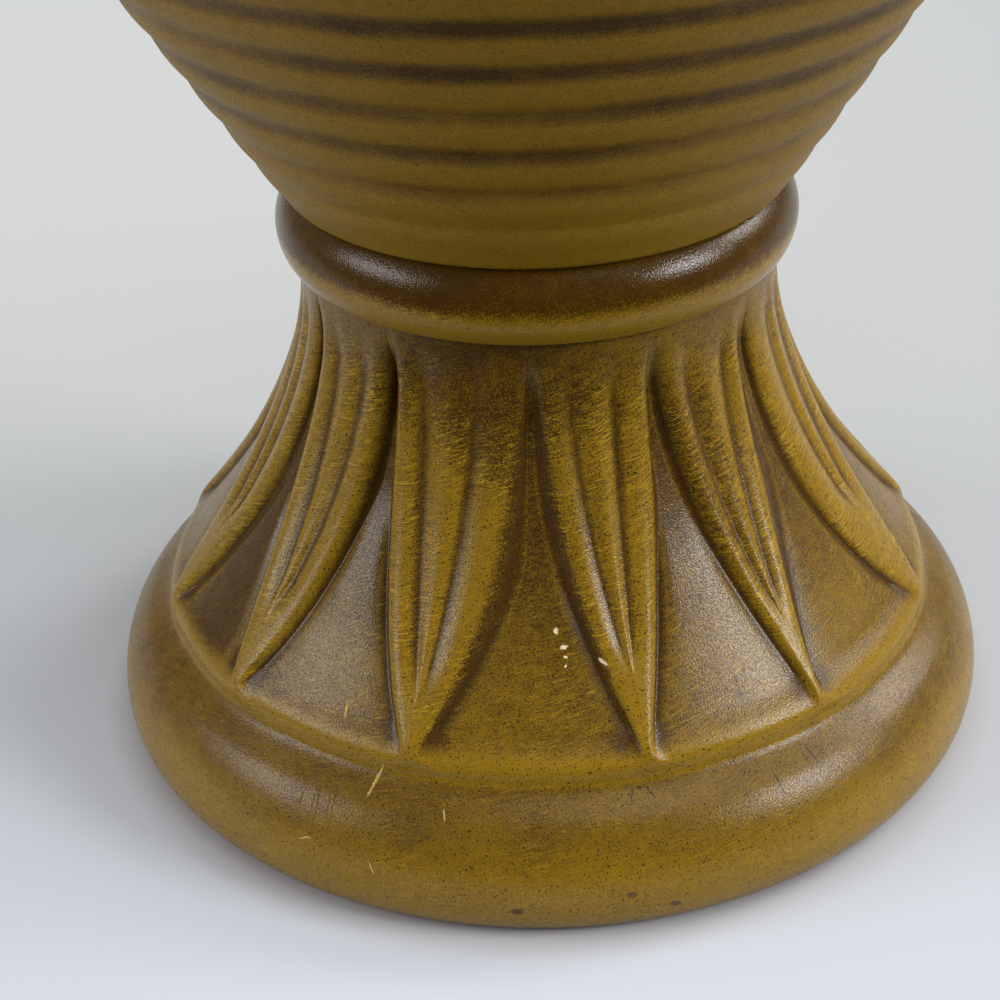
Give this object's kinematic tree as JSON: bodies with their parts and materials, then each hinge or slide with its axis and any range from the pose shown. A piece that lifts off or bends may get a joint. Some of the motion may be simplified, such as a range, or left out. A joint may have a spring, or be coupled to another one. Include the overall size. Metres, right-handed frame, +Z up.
{
  "type": "chalice vase",
  "caption": "Glazed ceramic chalice vase: a ribbed conical bowl on a bead collar and a flared foot moulded with pointed leaves, hollow underneath.",
  "frame": {"origin": "on the ground, at the centre of the foot ring", "axes": "+Z up along the vase's axis, -Y towards the side that the picture shows"},
  "size_m": [0.1636, 0.1636, 0.2031],
  "materials": {
    "pedestal_glaze": "satin ochre glaze with umber washed into the hollows",
    "collar_glaze": "satin ochre and umber glaze",
    "bowl_glaze": "satin ochre glaze with umber in the grooves"
  },
  "bodies": {
    "root": {"pedestal": "pedestal_glaze", "collar": "collar_glaze", "bowl": "bowl_glaze"}
  },
  "joints": []
}
